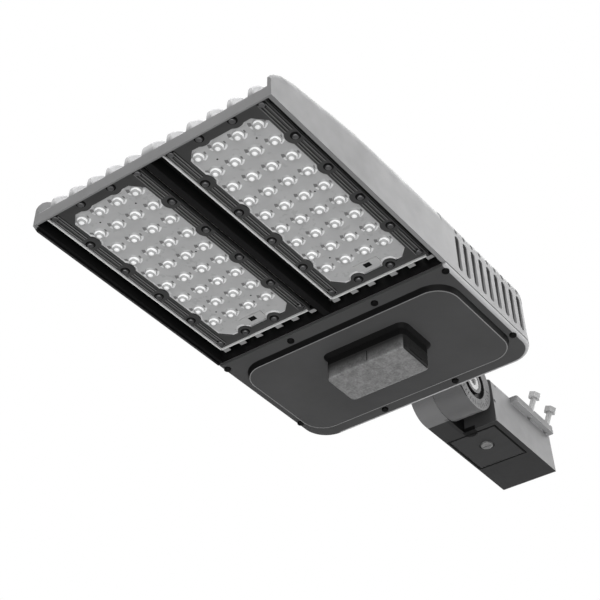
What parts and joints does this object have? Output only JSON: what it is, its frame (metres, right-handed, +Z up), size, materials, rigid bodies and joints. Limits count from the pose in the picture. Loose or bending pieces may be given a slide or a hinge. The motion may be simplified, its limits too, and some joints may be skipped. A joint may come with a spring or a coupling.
{
  "type": "led area light",
  "caption": "Pole-mounted LED area light with a finned die-cast head, two lens modules, an under-cover sensor and a graduated tilting slip-fitter arm.",
  "frame": {"origin": "centre of the tenon socket at its open end", "axes": "+Y out of the socket along the tenon, the way the pole's tenon leaves; +Z up; X across the head, parallel to the tilt pivot"},
  "size_m": [0.33, 0.8, 0.1479],
  "materials": {
    "grey_paint": "light grey powder coat, satin",
    "cover_paint": "dark grey powder coat, satin",
    "bezel": "dark grey moulded plastic",
    "lens": "clear moulded optics",
    "board": "white solder mask on a metal-core board",
    "phosphor": "yellow phosphor",
    "seal": "black silicone rubber",
    "steel": "stainless steel",
    "dark_steel": "blackened stainless steel",
    "connector": "grey moulded plastic",
    "sensor_shell": "dark moulded plastic",
    "sensor_lens": "milky grey plastic",
    "driver_case": "plain aluminium case",
    "terminal": "pale moulded plastic"
  },
  "bodies": {
    "arm": {"arm_body": "grey_paint", "arm_cover": "cover_paint", "arm_cover_gasket": "seal", "arm_cover_screw": "steel", "pivot_bolt": "steel", "pivot_nut": "steel", "pivot_washer": "steel", "tenon_bolts": "steel", "tenon_clamp": "grey_paint"},
    "head": {"cover_gasket": "seal", "cover_screws": "dark_steel", "driver_cover": "cover_paint", "driver_screws": "steel", "head_knuckle": "grey_paint", "housing": "grey_paint", "led_board_left": "board", "led_board_right": "board", "led_chips_left": "phosphor", "led_chips_right": "phosphor", "led_driver": "driver_case", "lens_plate_left": "lens", "lens_plate_right": "lens", "module_bezel_left": "bezel", "module_bezel_right": "bezel", "module_connector_left": "connector", "module_connector_right": "connector", "module_gasket_left": "seal", "module_gasket_right": "seal", "module_screws_left": "steel", "module_screws_right": "steel", "neck_bolts": "steel", "neck_gasket": "seal", "sensor_base": "sensor_shell", "sensor_board": "board", "sensor_lens": "sensor_lens", "sensor_screws": "steel", "surge_protector": "connector", "terminal_block": "terminal", "wire_bushing": "seal"}
  },
  "joints": [
    {"name": "head_tilt", "type": "hinge", "parent": "arm", "child": "head", "pos_m": [0, -0.203, 0.006], "axis": [1, 0, 0], "range_deg": [-30, 90]}
  ]
}
